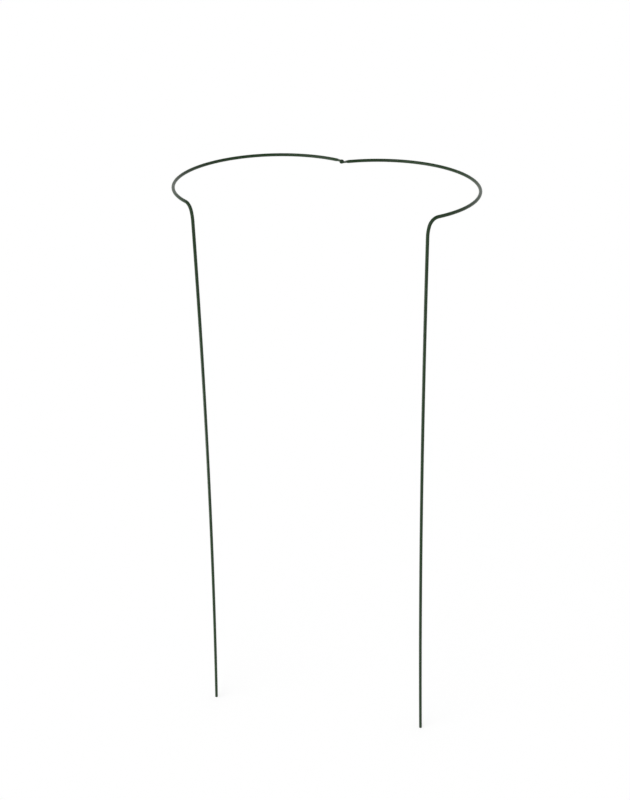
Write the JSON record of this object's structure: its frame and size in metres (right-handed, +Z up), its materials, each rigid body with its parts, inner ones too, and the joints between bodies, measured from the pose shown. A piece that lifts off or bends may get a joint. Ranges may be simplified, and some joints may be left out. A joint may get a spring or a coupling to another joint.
{
  "type": "plant support",
  "caption": "Hinged wire hoop on two long legs that closes round a plant's stems and pushes into the soil.",
  "frame": {"origin": "on the ground under the middle of the half open support, halfway between its back and its legs", "axes": "+Z up along the rivet, the legs hang down from the hoop; +X to the right half; -Y towards the open front, where the legs are"},
  "size_m": [0.4458, 0.2708, 0.9032],
  "materials": {
    "coated_wire": "dark green satin coating on steel wire",
    "coated_rivet": "dark green satin coating on a steel rivet, rubbed at its rim"
  },
  "bodies": {
    "left_half": {"left_hoop_wire": "coated_wire", "hinge_rivet": "coated_rivet"},
    "right_half": {"right_hoop_wire": "coated_wire"}
  },
  "joints": [
    {"name": "hoop_hinge", "type": "hinge", "parent": "left_half", "child": "right_half", "pos_m": [0, 0.11178, 0.89967], "axis": [0, 0, 1], "range_deg": [-66, 78]}
  ]
}
